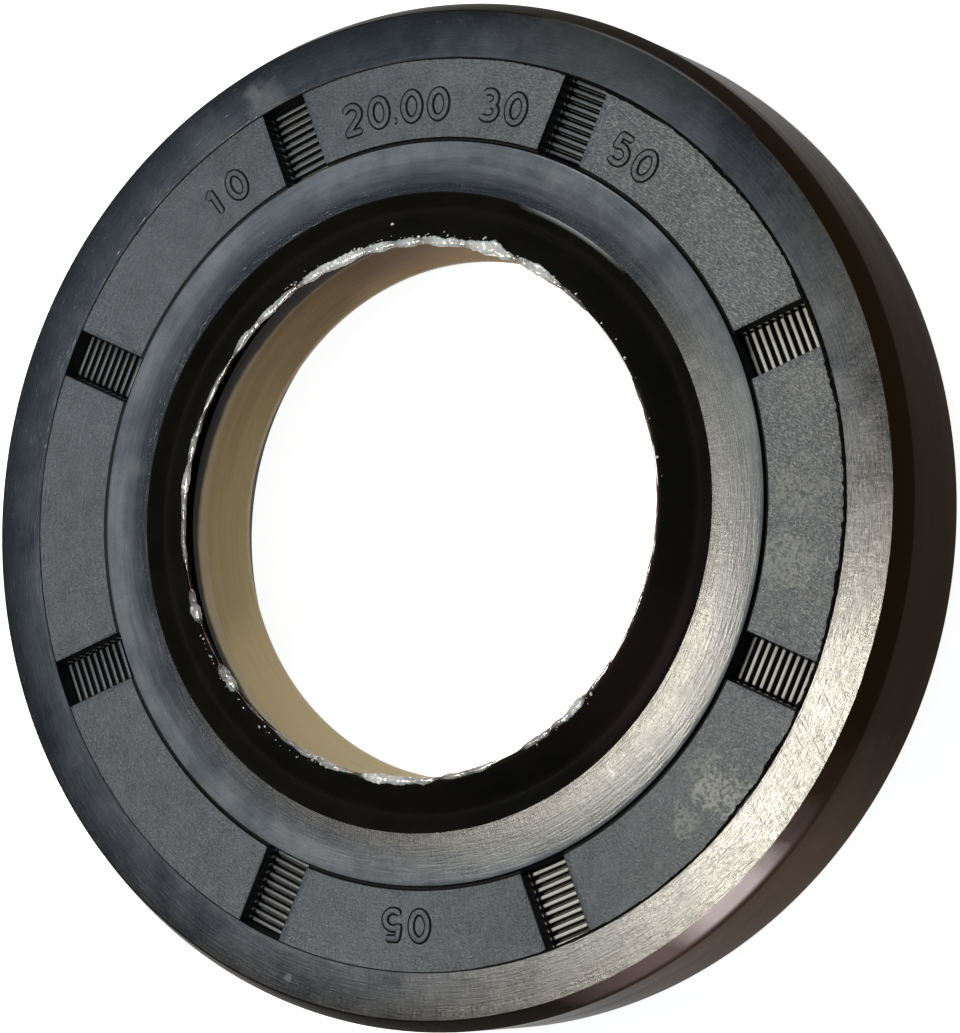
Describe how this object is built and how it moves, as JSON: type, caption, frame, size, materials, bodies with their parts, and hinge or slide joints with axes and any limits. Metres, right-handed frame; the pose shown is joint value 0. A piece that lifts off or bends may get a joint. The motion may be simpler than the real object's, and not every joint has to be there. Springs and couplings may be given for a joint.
{
  "type": "radial shaft seal",
  "caption": "Rubber-covered rotary shaft seal with a dust lip, a spring-loaded sealing lip and ribbed slots round its face.",
  "frame": {"origin": "on the seal's axis, at the end of the sealing lip's head that the seal rests on", "axes": "+Z along the seal's axis, from the back towards the marked face; +X through the middle of a slot"},
  "size_m": [0.0656, 0.0656, 0.012],
  "materials": {
    "nitrile_rubber": "moulded, satin, buffed on its face",
    "sheet_steel": "pressed, phosphated",
    "spring_steel": "drawn wire",
    "grease": "wet, translucent"
  },
  "bodies": {
    "root": {"rubber_body": "nitrile_rubber", "steel_insert": "sheet_steel", "garter_spring": "spring_steel", "lip_grease": "grease"}
  },
  "joints": []
}
